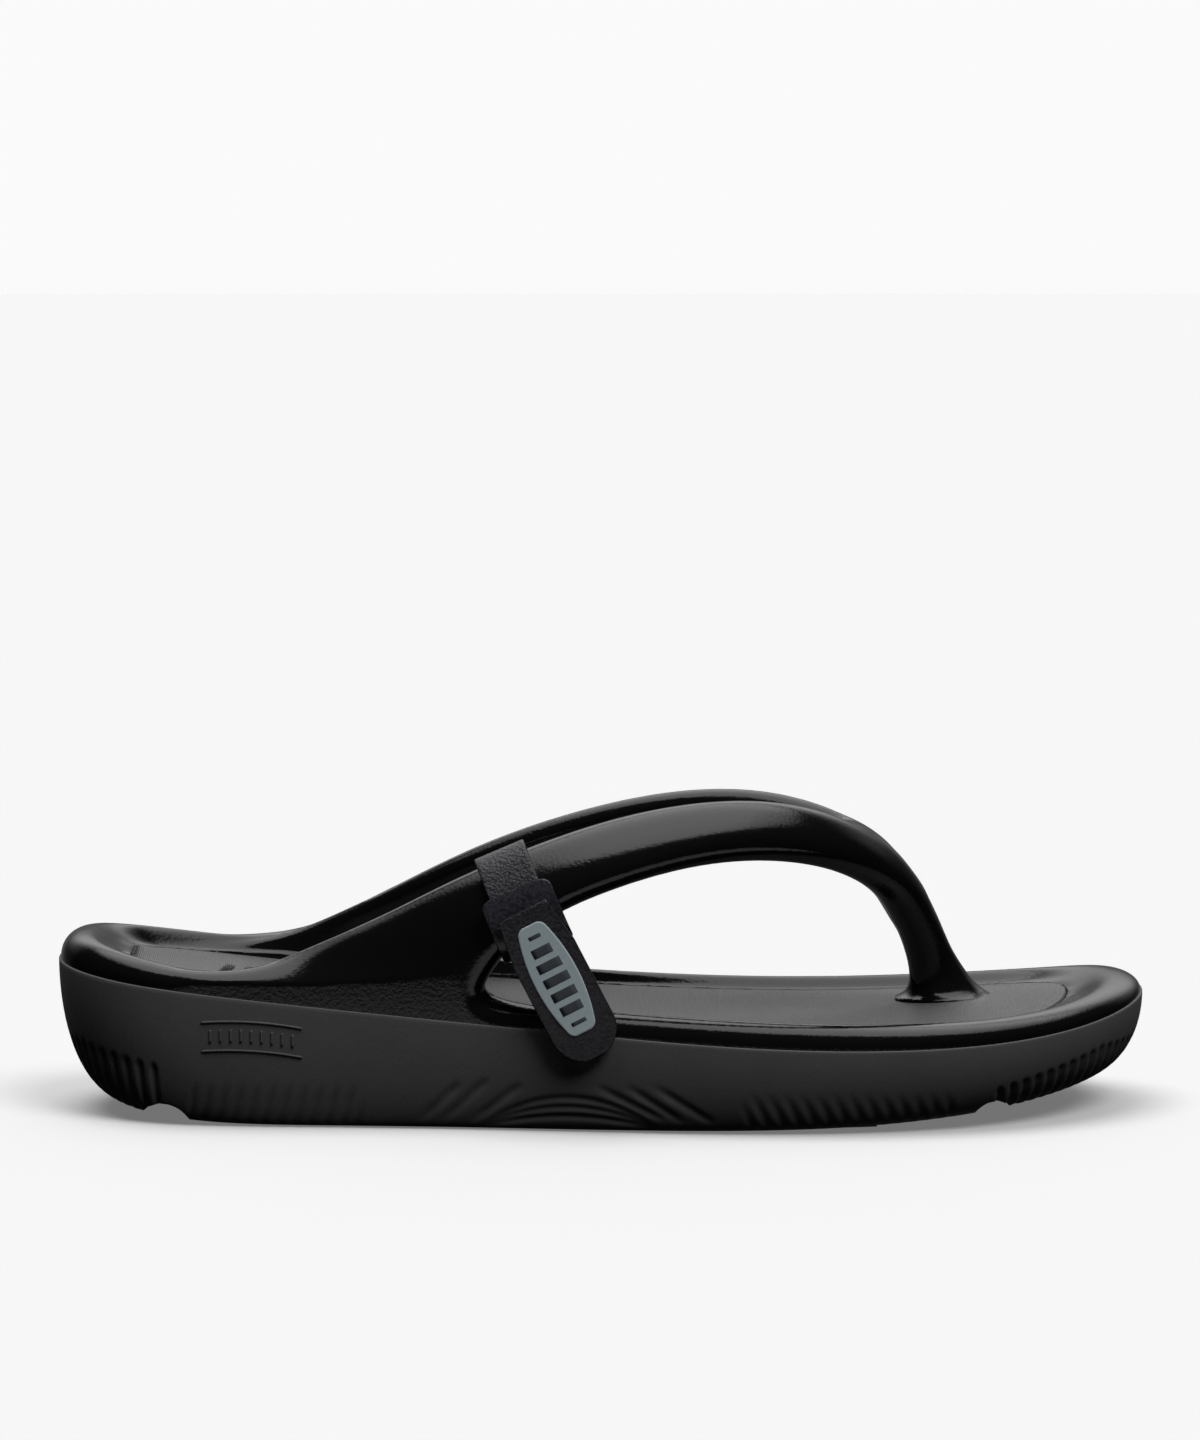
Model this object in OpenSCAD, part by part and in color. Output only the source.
// Flip flop for the right foot, size 260: moulded foam sole, glossy rim and Y strap in one piece,
// textured footbed insert, tread pads, toe post plug, and a soft leather-look tag on the strap.
// Frame: +X to the toe, +Y to the inner (big toe) side, +Z up, ground at z = 0, millimetres.

/* [Sole] */
// Length of the sole outline along X
sole_length = 280; // [276:1:284]
// Thickness of the footbed insert
bed_t = 4; // [3:0.5:5]
// Depth of the dish across the footbed
bed_dish = 1.5; // [0:0.5:3]
// Glue line between moulded pieces
glue_gap = 0.15; // [0.1:0.05:0.3]
// Radius of the transverse relief groove behind the heel pad
heel_notch_r = 7; // [5:0.5:8]
// Radius of the transverse relief groove under the toes
toe_notch_r = 5; // [4:0.5:6]

/* [Tread pads] */
// Thickness of the rubber tread pads
pad_t = 2.6; // [2:0.2:3.2]
// Height that the pads stand proud of the foam
pad_proud = 0.4; // [0.2:0.1:0.6]
// Width of the tread channels
channel_w = 3; // [2:0.5:4]
// Depth of the tread channels
channel_d = 1.2; // [0.8:0.2:1.6]

/* [Strap] */
// Outward bulge of the strap's outer face
bulge_out = 5.4; // [4.5:0.1:5.6]
// Bulge of the strap's foot side
bulge_in = 3.8; // [3:0.1:4]
// Diameter of the toe post's stem inside the sole
stem_d = 9; // [7:0.5:9.5]
// Diameter of the retaining plug under the toe post
plug_d = 16; // [14:1:16]
// Thickness of the retaining plug
plug_t = 4; // [3:0.5:5]

/* [Tag] */
// Thickness of the tag's strip
strip_t = 1.4; // [1:0.1:1.6]
// Width of the strip that goes round the strap
strip_w = 13.4; // [12:0.2:15]
// Width of the slotted tab
tab_w = 18.6; // [17:0.2:19.4]
// Length of the hanging tongue, from the slot to its round end
tongue_l = 41.4; // [37:0.2:43]
// Width of the tongue at its round end
tongue_w = 17; // [15:0.5:18]
// Running clearance between the tag and the strap
tag_clear = 0.7; // [0.6:0.1:1]

/* [Hidden] */

// Control points of the closed edge curves, from the heel round the outer side to the toe and back:
// x, y of the outline, height of the parting line, inset and height of the rim's crest,
// inset and height of the footbed's edge, inset and height of the sole's lower edge.
EDGE = [
    [-140.5,   0.0, 39.5, 7.5, 46.3, 20, 41.0, 14.0, 5.8],
    [-136.5, -20.0, 38.6, 6.5, 45.3, 17, 40.3, 13.0, 4.5],
    [-120.5, -34.5, 36.4, 6.0, 42.3, 13, 38.3,  9.0, 2.5],
    [ -98.0, -38.5, 34.0, 6.0, 38.5, 11, 35.6,  6.0, 0.5],
    [ -70.0, -39.0, 31.0, 6.0, 36.0, 10, 32.5,  5.0, 0.4],
    [ -38.0, -41.0, 28.0, 6.0, 33.0, 10, 29.5,  5.0, 0.4],
    [  -5.0, -46.0, 25.5, 6.0, 30.7, 10, 27.0,  5.5, 0.4],
    [  28.0, -51.0, 23.0, 6.5, 28.8, 11, 25.0,  7.0, 0.5],
    [  60.0, -52.5, 21.8, 7.0, 27.7, 12, 24.0,  9.0, 1.0],
    [  90.0, -47.5, 21.8, 7.5, 27.2, 13, 24.0, 11.0, 2.6],
    [ 114.0, -36.0, 23.3, 7.5, 28.0, 15, 25.2, 13.0, 4.6],
    [ 132.0, -19.0, 26.2, 7.5, 30.2, 18, 27.0, 14.0, 7.0],
    [ 142.0,   3.0, 29.3, 7.5, 32.8, 20, 28.6, 14.0, 8.5],
    [ 139.5,  25.0, 30.0, 7.5, 33.8, 19, 29.3, 14.0, 8.5],
    [ 124.0,  43.0, 27.0, 7.5, 30.8, 15, 28.0, 13.0, 6.5],
    [  97.0,  52.0, 23.5, 7.5, 28.0, 13, 25.3, 11.0, 3.2],
    [  62.0,  53.0, 21.5, 7.0, 26.5, 12, 23.8,  9.0, 1.0],
    [  26.0,  48.0, 22.8, 6.5, 27.5, 11, 24.8,  7.0, 0.5],
    [ -10.0,  41.5, 26.0, 6.0, 30.5, 10, 27.3,  5.5, 0.4],
    [ -45.0,  38.0, 28.8, 6.0, 33.8, 10, 30.3,  5.0, 0.4],
    [ -78.0,  38.0, 32.0, 6.0, 37.8, 10, 33.5,  5.0, 0.4],
    [-102.0,  37.5, 34.5, 6.0, 40.2, 11, 36.3,  6.0, 0.5],
    [-122.5,  32.5, 37.0, 6.0, 43.2, 13, 38.5,  9.0, 2.5],
    [-136.5,  20.0, 38.8, 6.5, 45.5, 17, 40.3, 13.0, 4.5]];
// Strap branches, heel to toe: upper edge xyz, lower edge xyz, share of the full bulge.
OUTER_BRANCH = [
    [-98, -32.0, 34.0, -84, -36.0, 29.0, 0.50],
    [-84, -31.0, 39.5, -62, -36.5, 28.5, 0.70],
    [-70, -30.0, 46.6, -43, -37.5, 28.0, 0.90],
    [-54, -29.0, 53.5, -31, -38.5, 34.5, 1.00],
    [-38, -28.0, 61.5, -24, -39.5, 46.5, 1.00],
    [-20, -26.5, 68.5, -10, -40.5, 57.0, 1.00],
    [  0, -24.5, 75.2,   8, -40.0, 64.0, 1.00],
    [ 20, -22.0, 79.4,  24, -37.0, 68.0, 1.00],
    [ 39, -17.5, 80.2,  41, -31.0, 68.8, 1.00],
    [ 54, -11.0, 77.0,  58, -23.0, 66.0, 1.00],
    [ 65,  -2.0, 71.0,  70, -10.0, 59.5, 1.05],
    [ 73,   6.0, 63.5,  76,   3.0, 52.0, 1.00],
    [ 78,  13.0, 55.5,  80,  12.0, 46.5, 0.80]];
INNER_BRANCH = [
    [-98, 33.0, 33.0, -84, 36.0, 30.0, 0.50],
    [-84, 32.0, 37.5, -62, 36.5, 29.5, 0.70],
    [-70, 30.0, 44.3, -43, 37.5, 29.0, 0.90],
    [-54, 28.0, 52.7, -31, 38.5, 33.5, 1.00],
    [-38, 26.0, 60.5, -24, 40.0, 45.5, 1.00],
    [-20, 24.0, 67.3, -10, 40.5, 55.0, 1.00],
    [  0, 22.0, 73.2,   8, 39.5, 62.0, 1.00],
    [ 20, 19.5, 77.2,  24, 37.0, 66.0, 1.00],
    [ 39, 17.0, 77.8,  41, 33.0, 67.5, 1.00],
    [ 54, 14.0, 74.7,  58, 27.0, 65.0, 1.00],
    [ 65, 12.0, 69.5,  70, 21.0, 59.5, 1.05],
    [ 73, 12.0, 63.0,  76, 17.0, 52.0, 1.00],
    [ 78, 14.0, 55.5,  80, 15.5, 46.5, 0.80]];
// Toe post, from the fork of the strap down to the footbed: centre xyz, half width, half thickness.
POST = [
    [58.5,  2, 70.6,  3.0,  2.0],
    [62.0,  4, 69.2,  8.5,  4.2],
    [66.0,  6, 67.2, 12.0,  5.2],
    [73.5, 10, 60.7, 11.0,  5.5],
    [79.0, 13, 52.5,  9.0,  5.6],
    [83.2, 16, 44.0,  7.0,  5.5],
    [86.0, 18, 36.0,  6.2,  5.8],
    [88.2, 19, 30.0,  7.2,  7.4],
    [89.8, 19, 24.5, 11.0, 12.5]];

stations = 96;              // points round each closed edge
half = stations / 2;
across = 8;                 // divisions across the footbed and the underside
wall_rings = 8;             // rings down the side wall
rim_top = 5;                // points from the parting line to the crest, and from there to the bed
band_rings = 36;
band_points = 20;
post_rings = 22;
edge_scale = sole_length / 280;
seat_step = 2.5;            // width of the seat just inside the parting line
seat_rise = 0.8;
trim = 0.9;                 // height above the seat where the strap ends inside the rim
stem_xy = [86, 19];
heel_notch = [-110.5, -1.6];
toe_notch = [99.5, 1.9];
heel_pad_x = [-98, -26];
fore_pad_x = [12, 70];
pad_inset = 7;
fit = 0.15;                 // all-round fit of the pads and the plug in their pockets
bar_x = [-97.8, -92.6, -87.4];
bar_w = 2.4;
bar_l = 22;
heel_bar_z = 32.6;
tag_u = 4.62;               // place of the tag on the outer branch
tag_pitch = 23;             // slope of the strap's upper edge there
slack_in = 2.2;             // extra room on the foot side and at the lower edge, where the strap
slack_low = 2.9;            // widens towards the heel
tongue_lean = 0.3;          // degrees that the tongue stands out from straight down
tongue_yaw = -3;
tongue_pitch = 27.5;
patch_t = 0.4;

// --- curves -----------------------------------------------------------------------------------
function wrap(i, n) = i - n * floor(i / n);
function blend4(p, t) = (pow(1 - t, 3) * p[0] + (3 * pow(t, 3) - 6 * t * t + 4) * p[1]
    + (-3 * pow(t, 3) + 3 * t * t + 3 * t + 1) * p[2] + pow(t, 3) * p[3]) / 6;
function loop_at(table, u) = let (i = floor(u))
    blend4([for (k = [-1:2]) table[wrap(i + k, len(table))]], u - i);
function row(table, i) = i < 0 ? 2 * table[0] - table[1]
    : i >= len(table) ? 2 * table[len(table) - 1] - table[len(table) - 2] : table[i];
function line_at(table, u) = let (i = min(floor(u), len(table) - 2))
    blend4([for (k = [-1:2]) row(table, i + k)], u - i);
function unit(v) = v / norm(v);
function sgnpow(v, e) = sign(v) * pow(abs(v), e);

// Edge station i: [table row, inward direction]
function station(i) = let (
    u = i / stations * len(EDGE),
    d = loop_at(EDGE, u + 0.02) - loop_at(EDGE, u - 0.02),
    t = unit([d[0] * edge_scale, d[1]]))
    [loop_at(EDGE, u), [-t[1], t[0]]];
EDGES = [for (i = [0:stations - 1]) station(i)];
function at(i, inset, z) = let (s = EDGES[wrap(i, stations)])
    [s[0][0] * edge_scale + s[1][0] * inset, s[0][1] + s[1][1] * inset, z];

// --- lofting ----------------------------------------------------------------------------------
// Side faces between consecutive closed rings of n points, each ring following the last.
function tube_faces(rings, n, closed = false) = [for (r = [0:rings - (closed ? 1 : 2)], i = [0:n - 1])
    let (a = r * n + i, b = r * n + (i + 1) % n, c = ((r + 1) % rings) * n, d = c + (i + 1) % n)
    each [[a, d, b], [a, c + i, d]]];
// Rows across a closed edge: row k joins point k of the edge to its opposite number.
function cross_rows(edge, drop) = [for (k = [1:half - 1], j = [1:across - 1])
    let (a = edge[k], b = edge[stations - k], s = j / across)
    a * (1 - s) + b * s - [0, 0, drop(k, s)]];
// Index of grid point j of row k, where ring holds the first index of the edge and grid of the rows.
function cell(ring, grid, k, j) = j == 0 ? ring + k : j == across ? ring + (stations - k) % stations
    : k <= 0 ? ring : k >= half ? ring + half : grid + (k - 1) * (across - 1) + j - 1;
function cap_faces(ring, grid, up) = [for (k = [0:half - 1], j = [0:across - 1])
    let (a = cell(ring, grid, k, j), b = cell(ring, grid, k + 1, j),
         c = cell(ring, grid, k + 1, j + 1), d = cell(ring, grid, k, j + 1),
         t = [if (a != b && b != c && a != c) [a, b, c], if (a != c && c != d && a != d) [a, c, d]])
    each [for (f = t) up ? [f[2], f[1], f[0]] : f]];
// Closed solid: rings from the underside's edge up to the top's edge, with both ends covered.
module loft(rings, drop_low, drop_top) {
    n = len(rings);
    low = cross_rows(rings[0], drop_low);
    top = cross_rows(rings[n - 1], drop_top);
    points = concat([for (r = rings) each r], low, top);
    low_at = n * stations;
    top_at = low_at + len(low);
    polyhedron(points, concat(tube_faces(n, stations), cap_faces(0, low_at, false),
        cap_faces((n - 1) * stations, top_at, true)), convexity = 6);
}

// The bed is dished at the heel and arch, and slightly crowned under the toes.
dish = function (k, s) bed_dish * min(1, max(-0.5, (60 - EDGES[k][0][0]) / 60)) * pow(sin(180 * s), 2)
    * min(1, min(k, half - k) / 8);
level = function (k, s) 0;
// The underside between its rounded edges runs down to the foam's lowest plane.
belly = function (k, s) let (z = at(k, 0, EDGES[k][0][8])[2], x = EDGES[k][0][0])
    max(0, z - foam_z(x)) * (1 - pow(abs(2 * s - 1), 4));
function foam_z(x) = pad_proud + (x > 45 ? 0.0009 * pow(x - 45, 2) : x < -100 ? 0.006 * pow(x + 100, 2) : 0);

function ring_at(inset, z) = [for (i = [0:stations - 1]) at(i, inset(EDGES[i][0]), z(EDGES[i][0]))];
// Side wall: quarter ellipses from the lower edge up to the parting line.
function wall() = [for (k = [0:wall_rings]) let (a = 90 * k / wall_rings)
    ring_at(function (e) e[7] * (1 - sin(a)), function (e) e[8] + (e[2] - e[8]) * (1 - cos(a)))];
// Seat of the rim and of the footbed on top of the foam, lifted by a gap.
function seat(gap) = [
    ring_at(function (e) seat_step, function (e) e[2] + seat_rise + gap),
    ring_at(function (e) e[5] - 1.5, function (e) e[6] - bed_t + gap)];

// --- moulded pieces ---------------------------------------------------------------------------
module post_bore(d) translate([stem_xy[0], stem_xy[1], -1]) cylinder(d = d, h = 60, $fn = 48);

module pad_outline(x_range, grow) intersection() {
    polygon([for (i = [0:stations - 1]) let (p = at(i, EDGES[i][0][7] + pad_inset - grow, 0)) [p[0], p[1]]]);
    translate([x_range[0] - grow, -60]) square([x_range[1] - x_range[0] + 2 * grow, 120]);
}

module notch(place, r) translate([place[0], 80, place[1]]) rotate([90, 0, 0]) cylinder(r = r, h = 160, $fn = 48);

module midsole() color("#2b2b2c") difference() {
    loft(concat(wall(), seat(0)), belly, dish);
    notch(heel_notch, heel_notch_r);
    notch(toe_notch, toe_notch_r);
    post_bore(stem_d + 2 * fit);
    translate([stem_xy[0], stem_xy[1], -1]) cylinder(d = plug_d + 2 * fit, h = plug_z() + plug_t + fit + 1, $fn = 64);
    translate([0, 0, -1]) linear_extrude(pad_t + fit + 1) {
        pad_outline(heel_pad_x, fit);
        pad_outline(fore_pad_x, fit);
    }
}
function plug_z() = foam_z(stem_xy[0]) + 0.6;

// Everything below the inside of the rim, and below the top of the bed: these trim the strap and the post.
module seat_block() loft(concat([ring_at(function (e) -3, function (e) -9),
    ring_at(function (e) -3, function (e) e[2] + trim)], seat(trim)), level, dish);
module bed_block() loft([ring_at(function (e) e[5], function (e) -9),
    ring_at(function (e) e[5], function (e) e[6] + glue_gap - 0.1)], level, dish);

// Rim: closed section round every station, from the parting line over the crest to the bed and back.
function rim_section(e) = let (h = e[4] - e[2]) concat(
    [for (k = [0:rim_top]) let (a = 90 * k / rim_top)
        [e[3] * (1 - pow(cos(a), 0.9)), e[2] + glue_gap + (h - glue_gap) * pow(sin(a), 0.9)]],
    [for (k = [1:rim_top]) let (s = k / rim_top)
        [e[3] + (e[5] - e[3]) * s, e[6] + (e[4] - e[6]) * (1 + cos(180 * s)) / 2]],
    [[e[5], e[6] - bed_t + glue_gap + 0.3], [seat_step, e[2] + seat_rise + glue_gap + 0.05]]);
module rim() {
    n = 2 * rim_top + 3;
    points = [for (i = [0:stations - 1]) each [for (p = rim_section(EDGES[i][0])) at(i, p[0], p[1])]];
    polyhedron(points, [for (f = tube_faces(stations, n, true)) [f[2], f[1], f[0]]], convexity = 8);
}

// Strap section: superellipse, rounder outside than on the foot side.
function band_frame(table, u, outward) = let (
    s = line_at(table, u), up = [s[0], s[1], s[2]], low = [s[3], s[4], s[5]],
    q = line_at(table, min(u + 0.05, len(table) - 1)) - line_at(table, max(u - 0.05, 0)),
    d = unit([q[0] + q[3], q[1] + q[4], q[2] + q[5]]),
    w = unit(up - low))
    [(up + low) / 2, w, outward * unit(cross(d, w)), norm(up - low) / 2, s[6], d];
function band_ring(f) = [for (i = [0:band_points - 1])
    let (a = 360 * i / band_points, b = sin(a) > 0 ? bulge_out : bulge_in)
    f[0] + f[1] * f[3] * sgnpow(cos(a), 0.8) + f[2] * f[4] * b * sgnpow(sin(a), 0.8)];
module sweep(rings, n, flip) {
    m = len(rings);
    faces = concat(tube_faces(m, n), [[for (i = [0:n - 1]) i]], [[for (i = [n - 1:-1:0]) (m - 1) * n + i]]);
    polyhedron([for (r = rings) each r], [for (f = faces) flip ? [for (i = [len(f) - 1:-1:0]) f[i]] : f],
        convexity = 4);
}
module branch(table, outward) sweep([for (k = [0:band_rings])
    band_ring(band_frame(table, k / band_rings * (len(table) - 1), outward))], band_points, outward < 0);
module post() {
    rings = [for (k = [0:post_rings]) let (
        u = k / post_rings * (len(POST) - 1),
        s = line_at(POST, u),
        q = line_at(POST, min(u + 0.05, len(POST) - 1)) - line_at(POST, max(u - 0.05, 0)),
        d = unit([q[0], q[1], q[2]]),
        w = unit([0, 1, 0] - d * d[1]),
        n = cross(d, w))
        [for (i = [0:band_points - 1]) let (a = 360 * i / band_points)
            [s[0], s[1], s[2]] + w * s[3] * sgnpow(cos(a), 0.9) + n * s[4] * sgnpow(sin(a), 0.9)]];
    sweep(rings, band_points, false);
}

// Rim, strap and toe post are one moulding; the stem goes down through the sole into the plug.
module upper() color("#101012") resize([0, 0, 0]) union() {
    rim();
    difference() {
        union() {
            branch(OUTER_BRANCH, 1);
            branch(INNER_BRANCH, -1);
        }
        seat_block();
    }
    difference() {
        post();
        bed_block();
    }
    translate([stem_xy[0], stem_xy[1], plug_z()]) cylinder(d = stem_d, h = 26, $fn = 32);
}

// Slanted grip bars sunk into the bed at the heel.
module heel_bar(x) translate([x, 0, heel_bar_z]) rotate([0, 0, -10]) linear_extrude(20) {
    square([bar_w, bar_l], center = true);
    for (y = [-bar_l / 2, bar_l / 2]) translate([0, y]) circle(d = bar_w, $fn = 24);
}
module footbed() color("#232324") difference() {
    loft([ring_at(function (e) e[5] + 0.2, function (e) e[6] - bed_t + 2 * glue_gap + 0.3),
          ring_at(function (e) e[5] + 0.2, function (e) e[6] - 0.1)], dish, dish);
    post_bore(stem_d + 2 * fit);
    for (x = bar_x) heel_bar(x);
}

// --- tread pads and plug ----------------------------------------------------------------------
module pad(x_range, channels) difference() {
    linear_extrude(pad_t) pad_outline(x_range, 0);
    for (k = [1:channels])
        translate([x_range[0] + (x_range[1] - x_range[0]) * k / (channels + 1) - channel_w / 2, -60, -1])
            cube([channel_w, 120, 1 + channel_d]);
}
module outsole_heel() color("#1c1c1d") pad(heel_pad_x, 7);
module outsole_forefoot() color("#1c1c1d") pad(fore_pad_x, 5);

module toe_post_plug() color("#1c1c1d") translate([stem_xy[0], stem_xy[1], plug_z()]) difference() {
    rotate_extrude($fn = 64) polygon([[0, 0], [plug_d / 2 - 1, 0], [plug_d / 2, 1], [plug_d / 2, plug_t],
        [0, plug_t]]);
    translate([0, 0, -1]) cylinder(d = stem_d + 2 * fit, h = plug_t + 2, $fn = 48);
}

// --- tag --------------------------------------------------------------------------------------
TAG = band_frame(OUTER_BRANCH, tag_u, 1);
tag_yaw = atan2(TAG[5][1], TAG[5][0]);
tag_dir = [cos(tag_yaw) * cos(tag_pitch), sin(tag_yaw) * cos(tag_pitch), sin(tag_pitch)];
tag_up = unit(TAG[1] - tag_dir * (TAG[1] * tag_dir));
tag_side = [-sin(tag_yaw), cos(tag_yaw), 0];
tag_roll = -asin(tag_up * tag_side);
tag_half = TAG[3] * (TAG[1] * tag_up);
module tag_frame() translate(TAG[0]) rotate([0, 0, tag_yaw]) rotate([0, -tag_pitch, 0])
    rotate([tag_roll, 0, 0]) children();
// Section round the strap with a margin; the outer face points to -y.
function tag_ring(grow) = [for (i = [0:59]) let (a = 6 * i, e = a > 90 && a < 180 ? 0.9 : 0.7)
    [-((sin(a) > 0 ? bulge_out : bulge_in + slack_in) + grow) * sgnpow(sin(a), e),
     (tag_half + grow + (cos(a) < 0 ? slack_low : 0)) * sgnpow(cos(a), e)]];
module hoop(inner, outer, width) rotate([90, 0, 90]) translate([0, 0, -width / 2]) linear_extrude(width)
    difference() {
        polygon(tag_ring(outer));
        polygon(tag_ring(inner));
    }
slot_z = -tag_half * 1.07;
slot_floor = 5.6;           // how far out from the strap's middle the slot reaches in
tab_top = -tag_half * 0.38;
module tag_loop() color("#29272d") tag_frame() {
    hoop(tag_clear, tag_clear + strip_t, strip_w);
    difference() {
        intersection() {
            hoop(tag_clear + strip_t - 0.05, tag_clear + 2 * strip_t, tab_w);
            translate([-tab_w, -40, -40]) cube([2 * tab_w, 40, 40 + tab_top]);
        }
        translate([-strip_w / 2, -40, slot_z - 1]) cube([strip_w, 40 - slot_floor, 2]);
    }
}

// The tongue hangs on a hinge line just in front of the slot.
pivot_local = [0, -(bulge_out + tag_clear + 2 * strip_t) - 0.6, slot_z];
function rot_x(p, a) = [p[0], p[1] * cos(a) - p[2] * sin(a), p[1] * sin(a) + p[2] * cos(a)];
function rot_y(p, a) = [p[0] * cos(a) + p[2] * sin(a), p[1], -p[0] * sin(a) + p[2] * cos(a)];
function rot_z(p, a) = [p[0] * cos(a) - p[1] * sin(a), p[0] * sin(a) + p[1] * cos(a), p[2]];
pivot = TAG[0] + rot_z(rot_y(rot_x(pivot_local, tag_roll), -tag_pitch), tag_yaw);
module tongue_frame() translate(pivot) rotate([0, 0, tongue_yaw]) rotate([0, -tongue_pitch, 0])
    rotate([-tongue_lean, 0, 0]) children();
module plate(t) rotate([90, 0, 0]) linear_extrude(t) children();
module tongue_shape() {
    polygon([[-strip_w / 2, 0], [strip_w / 2, 0], [tongue_w / 2, -12], [tongue_w / 2, tongue_w / 2 - tongue_l],
        [-tongue_w / 2, tongue_w / 2 - tongue_l], [-tongue_w / 2, -12]]);
    translate([0, tongue_w / 2 - tongue_l]) circle(d = tongue_w, $fn = 48);
}
module tag_tongue() color("#29272d") tongue_frame() {
    translate([0, strip_t / 2, 0]) plate(strip_t) tongue_shape();
    rotate([0, 90, 0]) cylinder(d = strip_t, h = strip_w, center = true, $fn = 32);
}
module tag_patch() color("#8d9799") tongue_frame() translate([0, -strip_t / 2 - 0.02, 0]) plate(patch_t)
    polygon([[-3.2, -3.8], [3.2, -3.8], [5.2, -11], [5.8, -19], [5, -27], [3.4, -34], [-3.4, -34], [-5, -27],
        [-5.8, -19], [-5.2, -11]]);

midsole();
upper();
footbed();
outsole_heel();
outsole_forefoot();
toe_post_plug();
tag_loop();
tag_tongue();
tag_patch();
